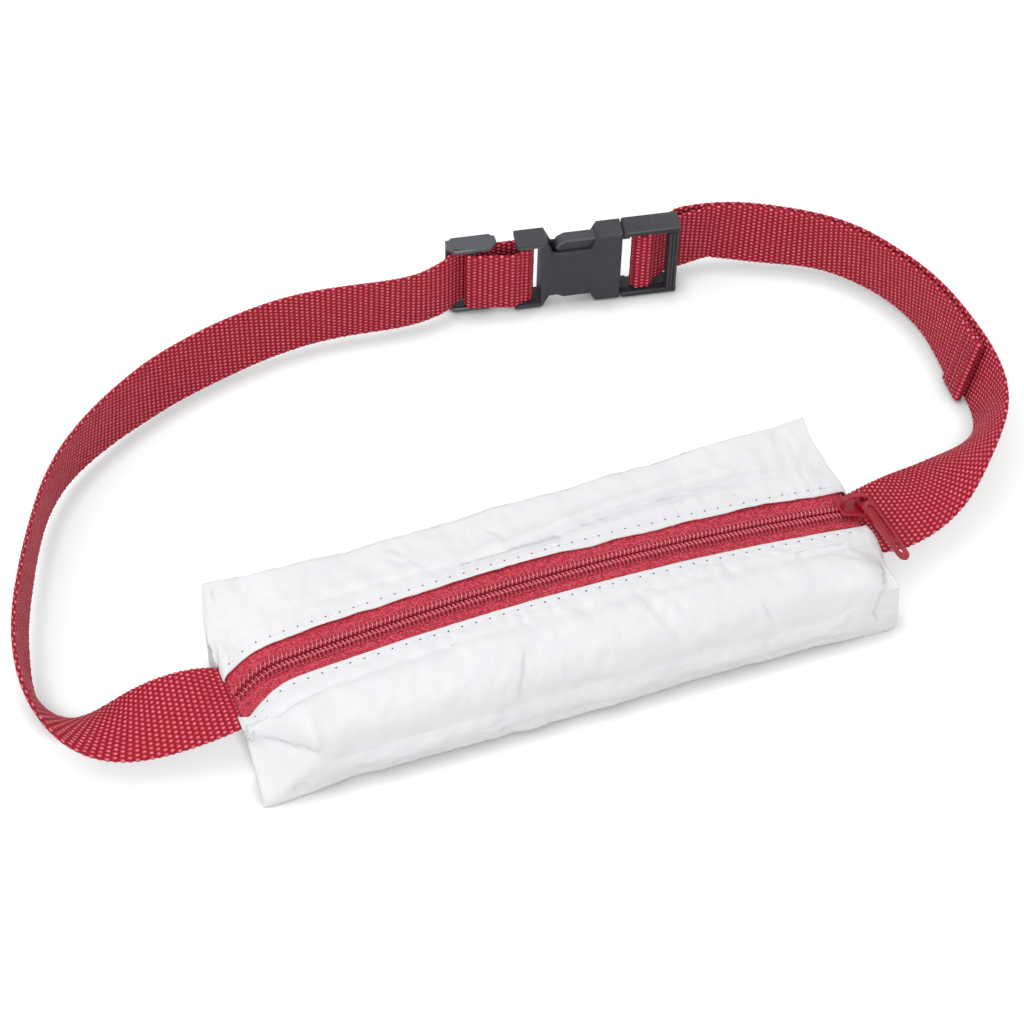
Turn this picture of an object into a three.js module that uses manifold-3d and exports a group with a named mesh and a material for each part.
// Throw rope bag: a zipped fabric pouch on a webbing waist belt with a side-release
// buckle and a tri-glide. Millimetres, +Z up. The origin is the centre of the pouch's
// base, +X runs along the pouch towards the end where the zip slider rests, and +Y
// points across the pouch towards the buckle. "Back" is +Y and "front" is -Y.
import * as THREE from 'three';
import { mergeVertices } from 'three/addons/utils/BufferGeometryUtils.js';
import Module from 'manifold-3d';

const wasm = await Module();
wasm.setup();

// -------------------------------------------------------- shared dimensions
const BAG_HALF_LENGTH = 99.5;
const FABRIC_WALL = 1.0;
const ZIP_ARC_R = 650;           // the zip line's shallow crown
const THREAD = 0.44;             // stitching thread diameter
const WEB_WIDTH = 25.0;
const WEB_THICK = 1.2;
const WEB_GAP = 0.3;             // clearance between webbing and what it turns round

// The buckle's own frame: u along the belt, v across it (nearly up), n out of its face.
// Buckle parts are drawn with x, y, z standing for u, v, n.
const BUCKLE_ORIGIN = new THREE.Vector3(44.1539, 149.6719, 16.1832);
const AXIS_U = new THREE.Vector3(0.9842, -0.1772, 0.0000).normalize();
const roughV = new THREE.Vector3(-0.0185, -0.1029, 0.9945).normalize();
const AXIS_N = new THREE.Vector3().crossVectors(AXIS_U, roughV).normalize();
const AXIS_V = new THREE.Vector3().crossVectors(AXIS_N, AXIS_U);
const buckleMatrix = new THREE.Matrix4()
  .makeBasis(AXIS_U, AXIS_V, AXIS_N)
  .setPosition(BUCKLE_ORIGIN);

// ---------------------------------------------------------------- materials
const WHITE = 0xeceded;
const RED_TAPE = 0xa82638;
const standard = (settings) => new THREE.MeshStandardMaterial(settings);
const MATERIALS = {
  fabric: standard({ color: WHITE, roughness: 0.72, metalness: 0 }),
  zipTape: standard({ color: RED_TAPE, roughness: 0.85, metalness: 0 }),
  zipCoil: standard({ color: RED_TAPE, roughness: 0.45, metalness: 0 }),
  zipMetal: standard({ color: 0xc23a48, roughness: 0.4, metalness: 0.2 }),
  whiteThread: standard({ color: WHITE, roughness: 0.8, metalness: 0 }),
  redThread: standard({ color: RED_TAPE, roughness: 0.8, metalness: 0 }),
  webbing: standard({ color: 0xb8333f, roughness: 0.85, metalness: 0 }),
  buckle: standard({ color: 0x3c3c40, roughness: 0.55, metalness: 0, flatShading: true }),
  triGlide: standard({ color: 0x141416, roughness: 0.25, metalness: 0, flatShading: true }),
  rope: standard({ color: 0xe8b23a, roughness: 0.8, metalness: 0 }),
};

// --------------------------------------------------------- geometry helpers
const part = new THREE.Group();
part.name = 'throw_rope_bag';

function add(name, geometry, material, parent = part) {
  const mesh = new THREE.Mesh(geometry, material);
  mesh.name = name;
  parent.add(mesh);
}

function signedVolume(positions, indices) {
  let volume = 0;
  const a = new THREE.Vector3();
  const b = new THREE.Vector3();
  const c = new THREE.Vector3();
  for (let i = 0; i < indices.length; i += 3) {
    a.fromArray(positions, indices[i] * 3);
    b.fromArray(positions, indices[i + 1] * 3);
    c.fromArray(positions, indices[i + 2] * 3);
    volume += a.dot(b.cross(c)) / 6;
  }
  return volume;
}

// An indexed geometry, turned right side out if its faces point inwards.
function bufferFrom(positions, indices) {
  if (signedVolume(positions, indices) < 0) {
    for (let i = 0; i < indices.length; i += 3) {
      [indices[i], indices[i + 1]] = [indices[i + 1], indices[i]];
    }
  }
  const geometry = new THREE.BufferGeometry();
  geometry.setAttribute('position', new THREE.Float32BufferAttribute(positions, 3));
  geometry.setIndex(indices);
  geometry.computeVertexNormals();
  return geometry;
}

// Triangles joining consecutive closed loops of `count` points each.
function wallFaces(loopCount, count) {
  const indices = [];
  for (let i = 0; i + 1 < loopCount; i++) {
    for (let j = 0; j < count; j++) {
      const a = i * count + j;
      const b = i * count + (j + 1) % count;
      indices.push(a, b, b + count, a, b + count, a + count);
    }
  }
  return indices;
}

// A closed solid through equal-length loops of points, its ends capped in the YZ plane.
function loft(loops) {
  const count = loops[0].length;
  const positions = loops.flat().flatMap((p) => [p.x, p.y, p.z]);
  const indices = wallFaces(loops.length, count);
  for (const row of [0, loops.length - 1]) {
    const flat = loops[row].map((p) => new THREE.Vector2(p.y, p.z));
    const sense = Math.sign(THREE.ShapeUtils.area(flat)) * (row === 0 ? -1 : 1);
    const base = row * count;
    for (const [a, b, c] of THREE.ShapeUtils.triangulateShape(flat, [])) {
      const turn = Math.sign(THREE.ShapeUtils.area([flat[a], flat[b], flat[c]]));
      if (turn === sense) indices.push(base + a, base + b, base + c);
      else indices.push(base + a, base + c, base + b);
    }
  }
  return bufferFrom(positions, indices);
}

// Catmull-Rom subdivision of a list of equal-length number rows.
function refine(rows, parts) {
  const refined = [];
  const rowAt = (i) => rows[Math.min(rows.length - 1, Math.max(0, i))];
  for (let i = 0; i + 1 < rows.length; i++) {
    for (let step = 0; step < parts; step++) {
      const t = step / parts;
      refined.push(rows[i].map((p1, column) => {
        const p0 = rowAt(i - 1)[column];
        const p2 = rowAt(i + 1)[column];
        const p3 = rowAt(i + 2)[column];
        return 0.5 * (2 * p1 + (p2 - p0) * t
          + (2 * p0 - 5 * p1 + 4 * p2 - p3) * t * t
          + (3 * p1 - p0 - 3 * p2 + p3) * t * t * t);
      }));
    }
  }
  refined.push(rows[rows.length - 1]);
  return refined;
}

// A rectangular section carried through stations { centre, across }.
function ribbon(stations, width, thick) {
  const positions = [];
  const lastRow = stations.length - 1;
  stations.forEach((station, i) => {
    const before = stations[Math.max(0, i - 1)].centre;
    const after = stations[Math.min(lastRow, i + 1)].centre;
    const along = after.clone().sub(before).normalize();
    const halfWidth = station.across.clone().normalize();
    const halfThick = along.cross(halfWidth).normalize().multiplyScalar(thick / 2);
    halfWidth.multiplyScalar(width / 2);
    for (const [sideW, sideT] of [[1, 1], [-1, 1], [-1, -1], [1, -1]]) {
      const corner = station.centre.clone()
        .addScaledVector(halfWidth, sideW)
        .addScaledVector(halfThick, sideT);
      positions.push(corner.x, corner.y, corner.z);
    }
  });
  const indices = wallFaces(stations.length, 4);
  const end = lastRow * 4;
  indices.push(0, 2, 1, 0, 3, 2, end, end + 1, end + 2, end, end + 2, end + 3);
  return bufferFrom(positions, indices);
}

// A path through given points, sampled at exactly those points.
class PointPath extends THREE.Curve {
  constructor(points) {
    super();
    this.points = points;
  }

  getPoint(t, target = new THREE.Vector3()) {
    const s = Math.min(1, Math.max(0, t)) * (this.points.length - 1);
    const i = Math.min(this.points.length - 2, Math.floor(s));
    return target.lerpVectors(this.points[i], this.points[i + 1], s - i);
  }

  getUtoTmapping(u) {
    return u;
  }
}

// Welds coincident points, dropping the attributes that would keep them apart.
function weld(geometry) {
  geometry.deleteAttribute('normal');
  geometry.deleteAttribute('uv');
  return mergeVertices(geometry, 1e-4);
}

// A polygonal rod along a list of points.
function cord(points, radius, sides) {
  const section = [];
  for (let i = 0; i < sides; i++) {
    const angle = (i / sides) * 2 * Math.PI;
    section.push(new THREE.Vector2(radius * Math.cos(angle), radius * Math.sin(angle)));
  }
  const shape = new THREE.Shape(section);
  shape.closePath();
  const merged = weld(new THREE.ExtrudeGeometry(shape, {
    steps: points.length - 1,
    bevelEnabled: false,
    extrudePath: new PointPath(points),
  }));
  return bufferFrom(Array.from(merged.attributes.position.array), Array.from(merged.index.array));
}

// Uses up the geometry it is given.
function toSolid(geometry) {
  const merged = weld(geometry);
  return new wasm.Manifold(new wasm.Mesh({
    numProp: 3,
    vertProperties: new Float32Array(merged.attributes.position.array),
    triVerts: new Uint32Array(merged.index.array),
  }));
}

function fromSolid(solid) {
  const mesh = solid.getMesh();
  return bufferFrom(Array.from(mesh.vertProperties), Array.from(mesh.triVerts));
}

// A box from its low and high corners.
function block([x0, y0, z0], [x1, y1, z1]) {
  const geometry = new THREE.BoxGeometry(x1 - x0, y1 - y0, z1 - z0);
  geometry.translate((x0 + x1) / 2, (y0 + y1) / 2, (z0 + z1) / 2);
  return toSolid(geometry);
}

// A plate with an outline in x, y, from z0 to z1, its edges chamfered.
function plate(outline, z0, z1, chamfer = 0) {
  const shape = new THREE.Shape(outline.map(([x, y]) => new THREE.Vector2(x, y)));
  const geometry = new THREE.ExtrudeGeometry(shape, {
    depth: z1 - z0 - 2 * chamfer,
    steps: 1,
    bevelEnabled: chamfer > 0,
    bevelThickness: chamfer,
    bevelSize: chamfer,
    bevelOffset: -chamfer,
    bevelSegments: 1,
  });
  geometry.translate(0, 0, z0 + chamfer);
  return toSolid(geometry);
}

// ---------------------------------------------------------------- the pouch
const BAG_HALF_WIDTH = 30.2;
const BAG_TOP_MID = 32.0;        // top of the pouch at its middle, on the zip line
const BAG_END_CENTRE = 17.6;     // top of the end wall where the zip meets the belt
const BACK_EDGE_MID = 30.6;      // long edges' height at mid length
const FRONT_EDGE_MID = 30.0;
const BAG_CORNER_BACK = 32.8;    // crisp back corners
const BAG_CORNER_FRONT = 25.0;   // slack front corners
const ZIP_ARC_END = 97.4;        // beyond this the zip line drops to the end wall
const ZIP_SLOT_HALF = 8.0;       // half the width of tape that shows

const HALF_STATIONS = [0, 18, 36, 54, 70, 82, 91, ZIP_ARC_END, 98.6, 99.2, BAG_HALF_LENGTH];
const BAG_STATIONS = [...HALF_STATIONS.slice(1).reverse().map((x) => -x), ...HALF_STATIONS];
const TOP_Y = [26, 23, 19, 15, 11.5, 8, 4, 0, -4, -8, -11.5, -15, -19, -23, -26];

const arcHeight = (x) => Math.sqrt(ZIP_ARC_R * ZIP_ARC_R - x * x) - ZIP_ARC_R + BAG_TOP_MID;

// Height of the pouch's top on the zip line.
function crown(x) {
  const reach = Math.abs(x);
  if (reach <= ZIP_ARC_END) return arcHeight(reach);
  const t = Math.min(1, (reach - ZIP_ARC_END) / (BAG_HALF_LENGTH - ZIP_ARC_END));
  return arcHeight(ZIP_ARC_END) + (BAG_END_CENTRE - arcHeight(ZIP_ARC_END)) * t ** 2;
}

// Height of the pouch's top at its long edges.
function shoulder(x, isBack) {
  const t = Math.min(1, Math.abs(x) / BAG_HALF_LENGTH);
  const middle = isBack ? BACK_EDGE_MID : FRONT_EDGE_MID;
  const corner = isBack ? BAG_CORNER_BACK : BAG_CORNER_FRONT;
  return middle + (corner - middle) * t ** 3;
}

function topHeight(x, y) {
  const blend = Math.min(1, Math.abs(y) / BAG_HALF_WIDTH) ** 2.2;
  return crown(x) + (shoulder(x, y > 0) - crown(x)) * blend;
}

// Cross-section at an outer station x, moved in by `inset` on every side.
function pouchLoop(x, inset) {
  const halfWidth = BAG_HALF_WIDTH - inset;
  const base = inset;
  const top = (y) => topHeight(x, y) - inset;
  // one long wall from its foot to its rounded top edge
  const wall = (side) => {
    const edge = top(side * (halfWidth - 4));
    return [
      [halfWidth - 3, base],
      [halfWidth - 0.8, base + 0.8],
      [halfWidth, base + 3],
      [halfWidth + 0.5, base + (edge - base) * 0.5],
      [halfWidth, edge - 5],
      [halfWidth - 0.5, edge - 2.6],
      [halfWidth - 1.9, edge - 0.9],
    ].map(([y, z]) => [side * y, z]);
  };
  const [frontFoot, ...frontRise] = wall(-1);
  const section = [
    frontFoot,
    [0, base],
    ...wall(1),
    ...TOP_Y.map((y) => [y, top(y)]),
    ...frontRise.reverse(),
  ];
  const insetX = x * ((BAG_HALF_LENGTH - inset) / BAG_HALF_LENGTH);
  return section.map(([y, z]) => new THREE.Vector3(insetX, y, z));
}

function bagShell() {
  const body = (inset) => toSolid(loft(BAG_STATIONS.map((x) => pouchLoop(x, inset))));
  const slot = block(
    [-110, -ZIP_SLOT_HALF, BAG_END_CENTRE + 0.1],
    [110, ZIP_SLOT_HALF, 60],
  );
  return fromSolid(body(0).subtract(body(FABRIC_WALL)).subtract(slot));
}
add('bag_shell', bagShell(), MATERIALS.fabric);

// ------------------------------------------------------------------ the zip
const TAPE_HALF_WIDTH = 14.0;
const TAPE_THICK = 0.6;
const TAPE_DROP = FABRIC_WALL + 0.35;   // tape top below the pouch's outer surface
const TAPE_END = 98.1;
const CHAIN_HALF_GAP = 0.5;
const COIL_HALF_WIDTH = 3.2;
const COIL_END = 95.4;
const COIL_STEPS = 36;
const STITCH_LINE_Y = 9.8;
const STITCH_END = 97;

const TAPE_STATIONS = BAG_STATIONS.map((x) => x * TAPE_END / BAG_HALF_LENGTH);
const tapeTop = (x, y) => topHeight(x * BAG_HALF_LENGTH / TAPE_END, y) - TAPE_DROP;

function tape(side) {
  const ys = [CHAIN_HALF_GAP, 4, 8, 11, TAPE_HALF_WIDTH].map((y) => side * y);
  return loft(TAPE_STATIONS.map((x) => [
    ...ys.map((y) => new THREE.Vector3(x, y, tapeTop(x, y))),
    ...ys.slice().reverse().map((y) => new THREE.Vector3(x, y, tapeTop(x, y) - TAPE_THICK)),
  ]));
}

function coil(side) {
  // y from the zip line, z above the tape
  const section = [
    [CHAIN_HALF_GAP, 0.1],
    [COIL_HALF_WIDTH - 0.2, 0.1],
    [COIL_HALF_WIDTH, 0.7],
    [COIL_HALF_WIDTH - 0.7, 1.4],
    [CHAIN_HALF_GAP + 0.5, 1.4],
    [CHAIN_HALF_GAP, 0.8],
  ];
  const loops = [];
  for (let i = 0; i <= COIL_STEPS; i++) {
    const x = -COIL_END + (2 * COIL_END * i) / COIL_STEPS;
    loops.push(section.map(([y, z]) => new THREE.Vector3(x, side * y, tapeTop(x, 0) + z)));
  }
  return loft(loops);
}

function topstitch(side) {
  const y = side * STITCH_LINE_Y;
  const points = TAPE_STATIONS
    .filter((x) => Math.abs(x) < STITCH_END)
    .map((x) => new THREE.Vector3(x, y, topHeight(x, y) + 0.1 + THREAD / 2));
  return cord(points, THREAD / 2, 4);
}

const ZIP_SIDES = [['back', 1], ['front', -1]];
for (const [label, side] of ZIP_SIDES) add(`zip_tape_${label}`, tape(side), MATERIALS.zipTape);
for (const [label, side] of ZIP_SIDES) add(`zip_coil_${label}`, coil(side), MATERIALS.zipCoil);
for (const [label, side] of ZIP_SIDES) {
  add(`zip_topstitch_${label}`, topstitch(side), MATERIALS.whiteThread);
}

// --------------------------------------------------------------- the slider
// Drawn in its own frame on the zip arc: x along the zip, z out of it.
const SLIDER_X = 97.0;
const BAIL_LEG_X = 4;            // the bail's +x leg, which carries the pull tab
const PULL_HALF = 2.4;
const PULL_LENGTH = 27;
const PULL_Z0 = 2.2;
const PULL_Z1 = 3.6;
const PULL_RECESS = 0.4;
const PULL_SWING = -86 * Math.PI / 180;

const sliderGroup = new THREE.Group();
sliderGroup.position.set(SLIDER_X, 0, crown(SLIDER_X));
sliderGroup.rotation.y = Math.asin(SLIDER_X / ZIP_ARC_R);
part.add(sliderGroup);

function sliderBody() {
  const topOutline = [
    [-4.2, -3.4], [-1, -4.4], [3.6, -4.4], [5, -3], [5, 3], [3.6, 4.4], [-1, 4.4], [-4.2, 3.4],
  ];
  const bottomOutline = [[-4.2, -3.2], [-1.8, -4.2], [-1.8, 4.2], [-4.2, 3.2]];
  const lips = block([-1, -4.4, -0.5], [3.4, -3.65, 0.9])
    .add(block([-1, 3.65, -0.5], [3.4, 4.4, 0.9]));
  const web = block([-4.0, -0.25, -2.8], [-1.8, 0.25, 0.9]);
  return fromSolid(plate(topOutline, 0.5, 1.7, 0.3)
    .add(lips)
    .add(web)
    .add(plate(bottomOutline, -3.6, -2.45, 0.2)));
}

function sliderBail() {
  // x, z of the strip's centre line
  const path = [
    [-3, 1.8], [-3, 4.0], [-2.6, 4.9], [-1.6, 5.4],
    [2.6, 5.4], [3.6, 4.9], [BAIL_LEG_X, 4.0], [BAIL_LEG_X, 1.8],
  ];
  const stations = path.map(([x, z]) => ({
    centre: new THREE.Vector3(x, 0, z),
    across: new THREE.Vector3(0, 1, 0),
  }));
  return ribbon(stations, 1.8, 1.0);
}

// Outline with half-round ends centred at x0 and x1.
function stadium(x0, x1, half, segments) {
  const points = [];
  for (const [x, start] of [[x1, -Math.PI / 2], [x0, Math.PI / 2]]) {
    for (let i = 0; i <= segments; i++) {
      const angle = start + (Math.PI * i) / segments;
      points.push([x + half * Math.cos(angle), half * Math.sin(angle)]);
    }
  }
  return points;
}

// A long narrow tab with a hole at each end and a recess in each face.
function pullTab() {
  const below = PULL_Z0 - 1;
  const above = PULL_Z1 + 1;
  const recess = stadium(4.2, 17.6, 1.25, 5);
  const geometry = fromSolid(
    plate(stadium(0, PULL_LENGTH - PULL_HALF, PULL_HALF, 8), PULL_Z0, PULL_Z1, 0.25)
      .subtract(plate(stadium(0, 0.01, 1.4, 8), below, above))
      .subtract(plate(stadium(21.2, 23.6, 1.15, 6), below, above))
      .subtract(plate(recess, PULL_Z1 - PULL_RECESS, above))
      .subtract(plate(recess, below, PULL_Z0 + PULL_RECESS)),
  );
  geometry.rotateZ(PULL_SWING);
  geometry.translate(BAIL_LEG_X, 0, 0);
  return geometry;
}

add('zip_slider_body', sliderBody(), MATERIALS.zipMetal, sliderGroup);
add('zip_slider_bail', sliderBail(), MATERIALS.zipMetal, sliderGroup);
add('zip_pull_tab', pullTab(), MATERIALS.zipMetal, sliderGroup);

// ----------------------------------------------------------------- the belt
// Stations from the pouch to the buckle: centre x, y, z, then the direction across
// the webbing.
const BELT_LEFT = [
  [-99.90, 0.00, 16.50, 0.000, -1.000, 0.000],
  [-107.81, -0.08, 16.91, -0.042, -0.982, -0.185],
  [-115.56, 0.45, 16.15, -0.085, -0.956, -0.281],
  [-123.07, 1.68, 14.42, -0.165, -0.950, -0.265],
  [-130.30, 3.68, 12.24, -0.306, -0.943, -0.133],
  [-137.20, 6.57, 10.47, -0.463, -0.879, 0.115],
  [-143.55, 10.40, 9.77, -0.530, -0.722, 0.444],
  [-148.85, 15.28, 10.22, -0.455, -0.500, 0.737],
  [-152.46, 21.30, 11.46, -0.315, -0.317, 0.895],
  [-153.90, 28.29, 12.87, -0.198, -0.205, 0.959],
  [-153.48, 35.79, 14.12, -0.145, -0.136, 0.980],
  [-151.94, 43.44, 15.05, -0.106, -0.086, 0.991],
  [-149.87, 51.07, 15.65, -0.057, -0.054, 0.997],
  [-147.46, 58.61, 15.96, -0.009, -0.034, 0.999],
  [-144.77, 66.05, 16.05, 0.027, -0.023, 0.999],
  [-141.89, 73.40, 16.00, 0.055, -0.019, 0.998],
  [-138.86, 80.70, 15.88, 0.084, -0.024, 0.996],
  [-135.68, 87.93, 15.74, 0.107, -0.033, 0.994],
  [-132.24, 95.03, 15.58, 0.131, -0.049, 0.990],
  [-128.36, 101.88, 15.41, 0.152, -0.068, 0.986],
  [-123.93, 108.36, 15.19, 0.162, -0.086, 0.983],
  [-118.92, 114.39, 14.92, 0.161, -0.098, 0.982],
  [-113.35, 119.92, 14.59, 0.145, -0.098, 0.985],
  [-107.31, 124.96, 14.24, 0.120, -0.087, 0.989],
  [-100.94, 129.59, 13.93, 0.090, -0.069, 0.994],
  [-94.32, 133.86, 13.69, 0.064, -0.050, 0.997],
  [-87.48, 137.76, 13.51, 0.036, -0.024, 0.999],
  [-80.43, 141.23, 13.40, 0.020, -0.014, 1.000],
  [-73.16, 144.24, 13.35, 0.009, -0.011, 1.000],
  [-65.72, 146.80, 13.34, -0.001, -0.009, 1.000],
  [-58.15, 148.96, 13.40, -0.009, -0.011, 1.000],
  [-50.49, 150.76, 13.54, -0.013, -0.025, 1.000],
  [-42.75, 152.12, 13.73, -0.015, -0.043, 0.999],
  [-34.95, 152.93, 13.91, -0.014, -0.066, 0.998],
  [-27.11, 153.12, 14.05, -0.013, -0.099, 0.995],
  [-19.28, 152.70, 14.11, -0.012, -0.126, 0.992],
  [-11.46, 151.82, 14.09, -0.010, -0.142, 0.990],
  [-3.67, 150.77, 13.97, -0.009, -0.152, 0.988],
  [4.11, 150.00, 13.85, -0.013, -0.155, 0.988],
  [11.88, 150.15, 13.99, -0.020, -0.145, 0.989],
  [19.61, 151.59, 14.72, -0.019, -0.103, 0.995],
];
const BELT_RIGHT = [
  [99.90, 0.00, 16.50, 0.000, -1.000, 0.000],
  [107.09, 0.17, 16.54, 0.112, -0.976, -0.187],
  [113.88, 1.63, 16.09, 0.226, -0.940, -0.256],
  [120.37, 4.03, 15.18, 0.338, -0.918, -0.209],
  [126.62, 7.10, 14.18, 0.441, -0.894, -0.076],
  [132.71, 10.66, 13.49, 0.507, -0.854, 0.117],
  [138.67, 14.54, 13.18, 0.520, -0.789, 0.327],
  [144.56, 18.55, 13.02, 0.497, -0.695, 0.519],
  [150.41, 22.62, 12.77, 0.460, -0.577, 0.675],
  [156.05, 26.85, 12.43, 0.414, -0.433, 0.801],
  [161.06, 31.57, 12.20, 0.350, -0.285, 0.892],
  [164.88, 37.13, 12.24, 0.270, -0.169, 0.948],
  [167.23, 43.50, 12.48, 0.224, -0.109, 0.969],
  [168.38, 50.36, 12.77, 0.207, -0.077, 0.975],
  [168.86, 57.44, 13.08, 0.196, -0.059, 0.979],
  [169.11, 64.55, 13.38, 0.164, -0.048, 0.985],
  [169.27, 71.65, 13.67, 0.111, -0.041, 0.993],
  [169.23, 78.73, 13.93, 0.048, -0.036, 0.998],
  [168.72, 85.77, 14.18, -0.012, -0.037, 0.999],
  [167.54, 92.71, 14.38, -0.063, -0.046, 0.997],
  [165.68, 99.52, 14.55, -0.094, -0.060, 0.994],
  [163.20, 106.15, 14.72, -0.109, -0.075, 0.991],
  [160.14, 112.53, 14.90, -0.100, -0.083, 0.991],
  [156.45, 118.55, 15.08, -0.087, -0.088, 0.992],
  [152.10, 124.07, 15.24, -0.080, -0.096, 0.992],
  [147.07, 128.96, 15.34, -0.071, -0.099, 0.992],
  [141.42, 133.19, 15.37, -0.047, -0.085, 0.995],
  [135.36, 136.87, 15.39, -0.015, -0.059, 0.998],
  [129.08, 140.24, 15.56, 0.012, -0.047, 0.999],
  [122.66, 143.33, 15.90, 0.018, -0.065, 0.998],
  [116.09, 145.88, 16.30, 0.004, -0.108, 0.994],
  [109.29, 147.51, 16.55, -0.008, -0.127, 0.992],
  [102.27, 147.96, 16.49, -0.019, -0.103, 0.995],
];
const BELT_SUBDIVISION = 2;
const WRAP_V = -0.6;             // v of the webbing's centre line at the buckle

// Bars the webbing turns round, as centre and half sizes in u and n.
const END_BAR = { u: 3.5, n: 0, halfU: 1.5, halfN: 1.5 };
const GLIDE_BAR = { u: -14.2, n: 0.9, halfU: 1.3, halfN: 0.9 };
const MALE_BAR = { u: 43.6, n: 0, halfU: 2.4, halfN: 1.4 };
const wrapRadius = (bar) => bar.halfN + WEB_GAP + WEB_THICK / 2;
const BACK_LAYER_N = END_BAR.n - wrapRadius(END_BAR);

const freeStations = (rows) => refine(rows, BELT_SUBDIVISION).map(([x, y, z, ...across]) => ({
  centre: new THREE.Vector3(x, y, z),
  across: new THREE.Vector3(...across).normalize(),
}));

// Stations from rows of u, n and, where it isn't WRAP_V, v.
const buckleStations = (rows) => rows.map(([u, n, v = WRAP_V]) => ({
  centre: new THREE.Vector3(u, v, n).applyMatrix4(buckleMatrix),
  across: AXIS_V.clone(),
}));

// Rows of u, n round the -u (side -1) or +u (side 1) end of a bar; angles in degrees.
function wrap(bar, side, from, to, steps) {
  const radius = wrapRadius(bar);
  const centreU = bar.u + side * (bar.halfU - bar.halfN);
  const rows = [];
  for (let i = 0; i <= steps; i++) {
    const angle = (from + ((to - from) * i) / steps) * Math.PI / 180;
    rows.push([centreU + radius * Math.cos(angle), bar.n + radius * Math.sin(angle)]);
  }
  return rows;
}

// Left strap: through the tri-glide, round the buckle's end bar and back round the
// tri-glide's centre bar.
function beltLeft() {
  const tailN = GLIDE_BAR.n - wrapRadius(GLIDE_BAR);
  const loop = buckleStations([
    [-22.6, 1.3, -1.0], [-21, 0.0, -0.8], [-19.4, -1.3, -0.7], [-17.8, -2.1],
    [-15.5, BACK_LAYER_N], [-6, BACK_LAYER_N], [0, BACK_LAYER_N - 0.05],
    ...wrap(END_BAR, 1, -90, 100, 10),
    [1.6, 3.0], [0, 3.9], [-1.6, 4.25], [-3.2, 4.05], [-6, 3.6], [-10, 3.0],
    ...wrap(GLIDE_BAR, -1, 90, 270, 8),
    [-11, tailN], [-8, tailN],
  ]);
  return ribbon([...freeStations(BELT_LEFT), ...loop], WEB_WIDTH, WEB_THICK);
}
add('belt_left', beltLeft(), MATERIALS.webbing);

// Right strap: round the male bar, then a tail that doubles back beside the strap on
// the inside of the belt loop and ends in a folded hem.
const LOOP_CENTRE = new THREE.Vector3(10, 90, 15);
const TAIL_LAST = 36;            // strap station where the tail ends
const TAIL_SKIP = 4;             // the tail starts this many stations from the strap's end
const TAIL_OFFSET = 1.9;         // tail's distance from the strap at its start
const TAIL_SPREAD = 1.3;         // growth of that distance along the tail
const TAIL_SAG = 1.1;
const HEM_LENGTH = 9.5;
const HEM_OFFSET = WEB_THICK + WEB_GAP;
const HEM_FOLD_STEPS = 5;

const rightFree = freeStations(BELT_RIGHT);

// Tail stations also carry `inward`, the webbing's normal towards the loop's inside.
function tailStations(strap) {
  const first = strap.length - TAIL_SKIP;
  const tail = [];
  for (let i = first; i >= TAIL_LAST; i--) {
    const { centre, across } = strap[i];
    const along = strap[i + 1].centre.clone().sub(strap[i - 1].centre).normalize();
    const inward = along.cross(across).normalize();
    if (inward.dot(LOOP_CENTRE.clone().sub(centre)) < 0) inward.negate();
    const t = (first - i) / (first - TAIL_LAST);
    const moved = centre.clone().addScaledVector(inward, TAIL_OFFSET + TAIL_SPREAD * t);
    moved.z -= TAIL_SAG * t * t;
    tail.push({ centre: moved, across, inward });
  }
  return tail;
}

// The half turn at the tail's end.
function hemFold(tail) {
  const { centre, across, inward } = tail[tail.length - 1];
  const tailDir = centre.clone().sub(tail[tail.length - 2].centre).normalize();
  const middle = centre.clone().addScaledVector(inward, HEM_OFFSET / 2);
  const fold = [];
  for (let i = 1; i <= HEM_FOLD_STEPS; i++) {
    const angle = -Math.PI / 2 + (Math.PI * i) / HEM_FOLD_STEPS;
    const point = middle.clone()
      .addScaledVector(tailDir, Math.cos(angle) * HEM_OFFSET / 2)
      .addScaledVector(inward, Math.sin(angle) * HEM_OFFSET / 2);
    fold.push({ centre: point, across, inward });
  }
  return fold;
}

// The folded end, running back along the tail's own curve.
function hemReturn(tail) {
  const stations = [];
  let run = 0;
  for (let i = tail.length - 2; i >= 0 && run < HEM_LENGTH; i--) {
    const { centre, across, inward } = tail[i];
    run += centre.distanceTo(tail[i + 1].centre);
    stations.push({
      centre: centre.clone().addScaledVector(inward, HEM_OFFSET),
      across,
      inward,
    });
  }
  return stations;
}

const beltTail = tailStations(rightFree);
const beltFold = hemFold(beltTail);
const beltReturn = hemReturn(beltTail);

function beltRight() {
  const radius = wrapRadius(MALE_BAR);
  const loop = buckleStations([
    [53, -6.2], [49.8, -4.4], [47, -3.0],
    [MALE_BAR.u + MALE_BAR.halfU - MALE_BAR.halfN, MALE_BAR.n - radius],
    ...wrap(MALE_BAR, -1, -90, -270, 9),
    ...wrap(MALE_BAR, 1, 90, -5, 6),
    [47.9, -1.1], [49.6, -2.0], [53, -4.0],
  ]);
  const stations = [...rightFree, ...loop, ...beltTail, ...beltFold, ...beltReturn];
  return ribbon(stations, WEB_WIDTH, WEB_THICK);
}
add('belt_right', beltRight(), MATERIALS.webbing);

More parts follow.
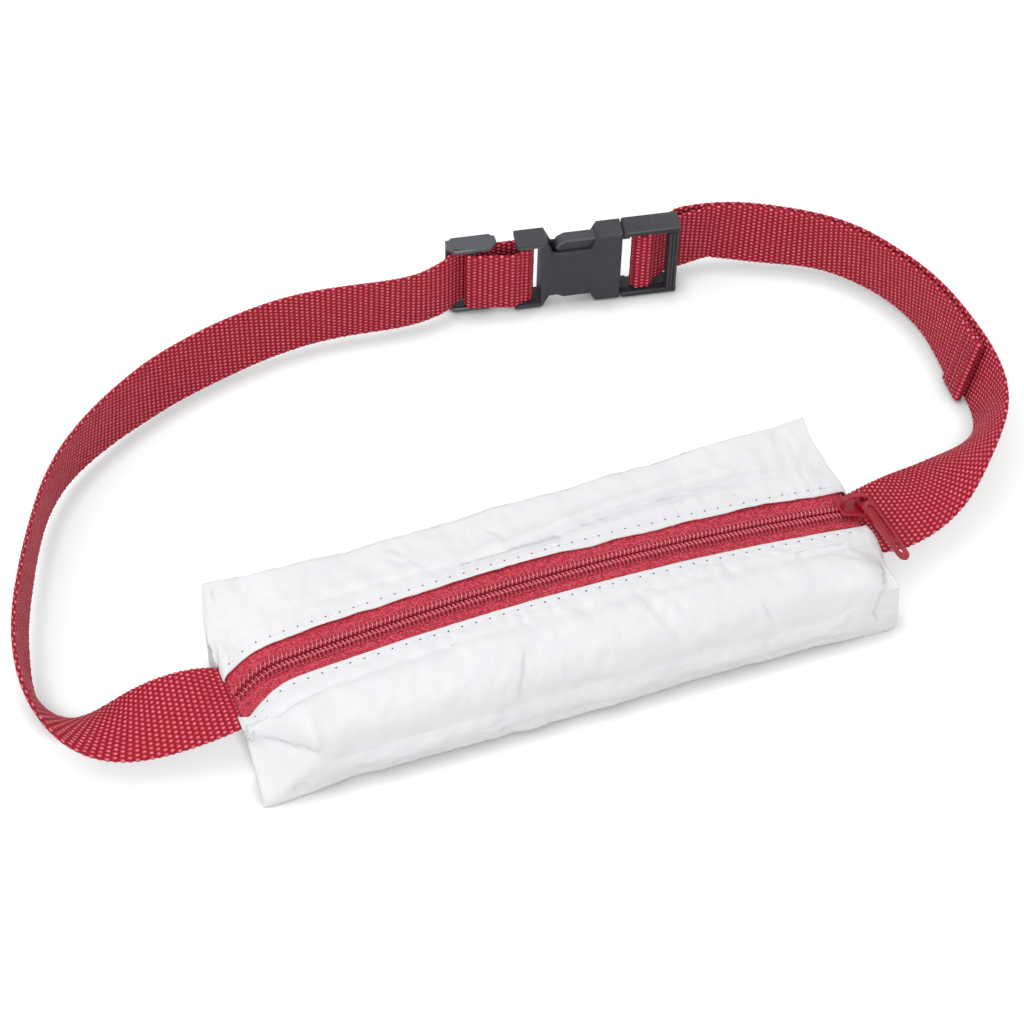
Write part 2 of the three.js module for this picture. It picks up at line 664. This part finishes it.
// Rows of stitching across the folded end, in one zigzagging length.
function hemStitching() {
  const lift = WEB_THICK / 2 + 0.12 + THREAD / 2;
  const rowDistances = [1.6, 4.3, 7.0];   // from the fold
  const spine = [beltFold[beltFold.length - 1], ...beltReturn];
  const segment = (i) => spine[i].centre.distanceTo(spine[i + 1].centre);
  const stationAt = (distance) => {
    let rest = distance;
    let i = 0;
    while (rest > segment(i)) {
      rest -= segment(i);
      i++;
    }
    const t = rest / segment(i);
    const blend = (key) => spine[i][key].clone().lerp(spine[i + 1][key], t);
    return {
      centre: blend('centre'),
      across: blend('across').normalize(),
      inward: blend('inward').normalize(),
    };
  };
  const points = rowDistances.flatMap((distance, row) => {
    const { centre, across, inward } = stationAt(distance);
    const sign = row % 2 ? -1 : 1;
    return [-10, -5, 0, 5, 10].map((offset) => centre.clone()
      .addScaledVector(inward, lift)
      .addScaledVector(across, sign * offset));
  });
  return cord(points, THREAD / 2, 4);
}
add('belt_hem_stitching', hemStitching(), MATERIALS.redThread);

// --------------------------------------------------------------- the buckle
const HALF_WIDTH = 15.5;
const HALF_THICK = 4.0;
const FEMALE_LENGTH = 35.8;
const MALE_START = FEMALE_LENGTH + 0.5;
const MALE_END = 55.3;
const MALE_RAIL_IN = 13.3;       // inner face of the male side rails
const MALE_RAIL_CUT = 0.6;       // corner cut of those rails
const FRONT_BAR = { u: 53.4, n: 2.1, halfU: 1.9, halfN: 1.9 };

function addToBuckle(name, solid, material) {
  add(name, fromSolid(solid).applyMatrix4(buckleMatrix), material);
}

// A bar with a rounded section, running across the belt from v0 to v1.
function barAcross({ u, n, halfU, halfN }, v0, v1) {
  const radius = Math.min(halfU, halfN) * 0.6;
  const arcU = halfU - radius;
  const arcN = halfN - radius;
  const shape = new THREE.Shape();
  shape.moveTo(-arcU, -halfN);
  shape.lineTo(arcU, -halfN);
  shape.absarc(arcU, -arcN, radius, -Math.PI / 2, 0, false);
  shape.lineTo(halfU, arcN);
  shape.absarc(arcU, arcN, radius, 0, Math.PI / 2, false);
  shape.lineTo(-arcU, halfN);
  shape.absarc(-arcU, arcN, radius, Math.PI / 2, Math.PI, false);
  shape.lineTo(-halfU, -arcN);
  shape.absarc(-arcU, -arcN, radius, Math.PI, 1.5 * Math.PI, false);
  const geometry = new THREE.ExtrudeGeometry(shape, {
    depth: v1 - v0,
    steps: 1,
    bevelEnabled: false,
    curveSegments: 3,
  });
  geometry.rotateX(Math.PI / 2);
  geometry.translate(u, v1, n);
  return toSolid(geometry);
}

// Waisted body: open round its webbing bar at -u, with a socket opening at +u.
function buckleFemale() {
  const outline = [
    [0, -HALF_WIDTH], [9.2, -HALF_WIDTH], [11.6, -10.6], [25.2, -10.6],
    [27.4, -HALF_WIDTH], [FEMALE_LENGTH, -HALF_WIDTH],
    [FEMALE_LENGTH, HALF_WIDTH], [27.8, HALF_WIDTH], [25.0, 9.4], [12.6, 9.4],
    [10.0, HALF_WIDTH], [0, HALF_WIDTH],
  ];
  return plate(outline, -HALF_THICK, HALF_THICK, 0.6)
    .subtract(block([-1, -13.4, -HALF_THICK - 1], [8.6, 13.4, HALF_THICK + 1]))
    .subtract(block([11, -13.9, -2.6], [FEMALE_LENGTH + 1, 13.9, 2.6]))
    .add(barAcross(END_BAR, -14, 14));
}

function buckleMale() {
  const upperRail = [
    [MALE_START, MALE_RAIL_IN], [MALE_END, MALE_RAIL_IN], [MALE_END, HALF_WIDTH],
    [MALE_START + MALE_RAIL_CUT, HALF_WIDTH], [MALE_START, HALF_WIDTH - MALE_RAIL_CUT],
  ];
  const lowerRail = [
    [MALE_START, -MALE_RAIL_IN], [MALE_START, -HALF_WIDTH + MALE_RAIL_CUT],
    [MALE_START + MALE_RAIL_CUT, -HALF_WIDTH], [MALE_END, -HALF_WIDTH],
    [MALE_END, -MALE_RAIL_IN],
  ];
  const tongue = [
    [16, -1.6], [17.5, -2.8], [31.5, -2.8], [31.5, 2.8], [17.5, 2.8], [16, 1.6],
  ];
  let male = plate(upperRail, -HALF_THICK, HALF_THICK, 0.4)
    .add(plate(lowerRail, -HALF_THICK, HALF_THICK, 0.4))
    // cross-piece inside the socket and the two arms that join it to the rails
    .add(block([31.0, -13.6, -2.3], [34.2, 13.6, 2.3]))
    .add(block([31.0, 11.2, -2.3], [38.6, 13.6, 2.3]))
    .add(block([31.0, -13.6, -2.3], [38.6, -11.2, 2.3]))
    .add(plate(tongue, -2.2, 2.2, 0.3))
    .add(barAcross(MALE_BAR, -13.8, 13.8))
    .add(barAcross(FRONT_BAR, -13.8, 13.8));
  // three ribs on the end bar
  for (let i = 0; i < 3; i++) {
    const u = 52.0 + i * 1.1;
    male = male.add(block([u, -12.8, 3.8], [u + 0.45, 12.8, 4.25]));
  }
  return male;
}

const UPPER_PRONG = [
  [30.7, 11.3], [30.7, 13.4], [16.6, 13.4], [14.2, 12.0],
  [13.4, 10.2], [14.4, 8.9], [26.2, 8.9], [28.0, 11.3],
];
const LOWER_PRONG = UPPER_PRONG.map(([u, v]) => [u, -v]).reverse();
const prong = (outline) => plate(outline, -2.3, 2.3, 0.35);

addToBuckle('buckle_female', buckleFemale(), MATERIALS.buckle);
addToBuckle('buckle_male_frame', buckleMale(), MATERIALS.buckle);
addToBuckle('buckle_prong_upper', prong(UPPER_PRONG), MATERIALS.buckle);
addToBuckle('buckle_prong_lower', prong(LOWER_PRONG), MATERIALS.buckle);

// ------------------------------------------------------------ the tri-glide
const GLIDE_V = -0.7;            // v of its centre
const GLIDE_U0 = -22.7;
const GLIDE_U1 = -6.1;
const GLIDE_HALF_IN = 12.9;      // inner and outer faces of the side rails
const GLIDE_HALF_OUT = 14.8;

// A side rail, drawn in u, n and stood up along v.
function glideRail(v0, v1) {
  const n0 = BACK_LAYER_N - 2.7;
  const n1 = BACK_LAYER_N + 4.2;
  const outline = [
    [GLIDE_U0, n0 + 2], [GLIDE_U0 + 2, n0], [GLIDE_U1 - 2, n0], [GLIDE_U1, n0 + 2],
    [GLIDE_U1, n1 - 2.4], [GLIDE_U1 - 2.4, n1], [GLIDE_U0 + 2.4, n1], [GLIDE_U0, n1 - 2.4],
  ];
  const { attributes, index } = fromSolid(plate(outline, v0, v1, 0.4))
    .applyMatrix4(new THREE.Matrix4().set(
      1, 0, 0, 0,
      0, 0, 1, 0,
      0, 1, 0, 0,
      0, 0, 0, 1,
    ));
  // swapping two axes mirrors the rail, so its faces are turned again
  return toSolid(bufferFrom(Array.from(attributes.position.array), Array.from(index.array)));
}

// Two side rails and three bars, the centre bar raised towards +n.
function triGlide() {
  const { halfU, halfN } = GLIDE_BAR;
  const outerN = BACK_LAYER_N - wrapRadius(GLIDE_BAR);
  const bars = [
    { u: GLIDE_U0 + halfU, n: outerN, halfU, halfN },
    GLIDE_BAR,
    { u: GLIDE_U1 - halfU, n: outerN, halfU, halfN },
  ];
  const reach = GLIDE_HALF_IN + 0.6;
  let glide = glideRail(GLIDE_V + GLIDE_HALF_IN, GLIDE_V + GLIDE_HALF_OUT)
    .add(glideRail(GLIDE_V - GLIDE_HALF_OUT, GLIDE_V - GLIDE_HALF_IN));
  for (const bar of bars) glide = glide.add(barAcross(bar, GLIDE_V - reach, GLIDE_V + reach));
  return glide;
}
addToBuckle('tri_glide', triGlide(), MATERIALS.triGlide);

// --------------------------------------------------------- inside the pouch
const ROPE_D = 5.0;
const ROPE_PITCH = 5.6;
const ROPE_BASE_Z = 4.2;
const ROPE_REACH = 88;           // half length of the straight runs
const ROPE_LAYERS = 3;
const ROPE_HALF_ROWS = 4;        // rows on each side of the middle one
const ROPE_BEND_ANGLES = [-54, -18, 18, 54];

// One continuous length laid to and fro in layers.
function throwRope() {
  const rows = [];
  for (let layer = 0; layer < ROPE_LAYERS; layer++) {
    const dirY = layer % 2 ? -1 : 1;
    for (let i = -ROPE_HALF_ROWS; i <= ROPE_HALF_ROWS; i++) {
      rows.push([dirY * i * ROPE_PITCH, ROPE_BASE_Z + layer * ROPE_PITCH]);
    }
  }
  const points = [];
  rows.forEach(([y, z], i) => {
    const dirX = i % 2 ? -1 : 1;
    points.push(new THREE.Vector3(-dirX * ROPE_REACH, y, z));
    points.push(new THREE.Vector3(dirX * ROPE_REACH, y, z));
    if (i + 1 === rows.length) return;
    // half-round bend to the next row, which is one pitch away in y or in z
    const [nextY, nextZ] = rows[i + 1];
    for (const degrees of ROPE_BEND_ANGLES) {
      const angle = degrees * Math.PI / 180;
      const t = (1 + Math.sin(angle)) / 2;
      points.push(new THREE.Vector3(
        dirX * (ROPE_REACH + (ROPE_PITCH / 2) * Math.cos(angle)),
        y + (nextY - y) * t,
        z + (nextZ - z) * t,
      ));
    }
  });
  return cord(points, ROPE_D / 2, 6);
}
add('throw_rope', throwRope(), MATERIALS.rope);

// Zigzag thread across the pouch, just inside an end wall.
function endSeam(side) {
  const reach = BAG_HALF_LENGTH - FABRIC_WALL - 1.0;
  const halfSpan = 26;
  const steps = 12;
  const points = [];
  for (let i = 0; i <= steps; i++) {
    const x = side * (reach - 0.4 * (i % 2));
    points.push(new THREE.Vector3(x, -halfSpan + (2 * halfSpan * i) / steps, 14.4));
  }
  return cord(points, 0.3, 5);
}
add('end_seam_thread_left', endSeam(-1), MATERIALS.whiteThread);
add('end_seam_thread_right', endSeam(1), MATERIALS.whiteThread);

export default part;
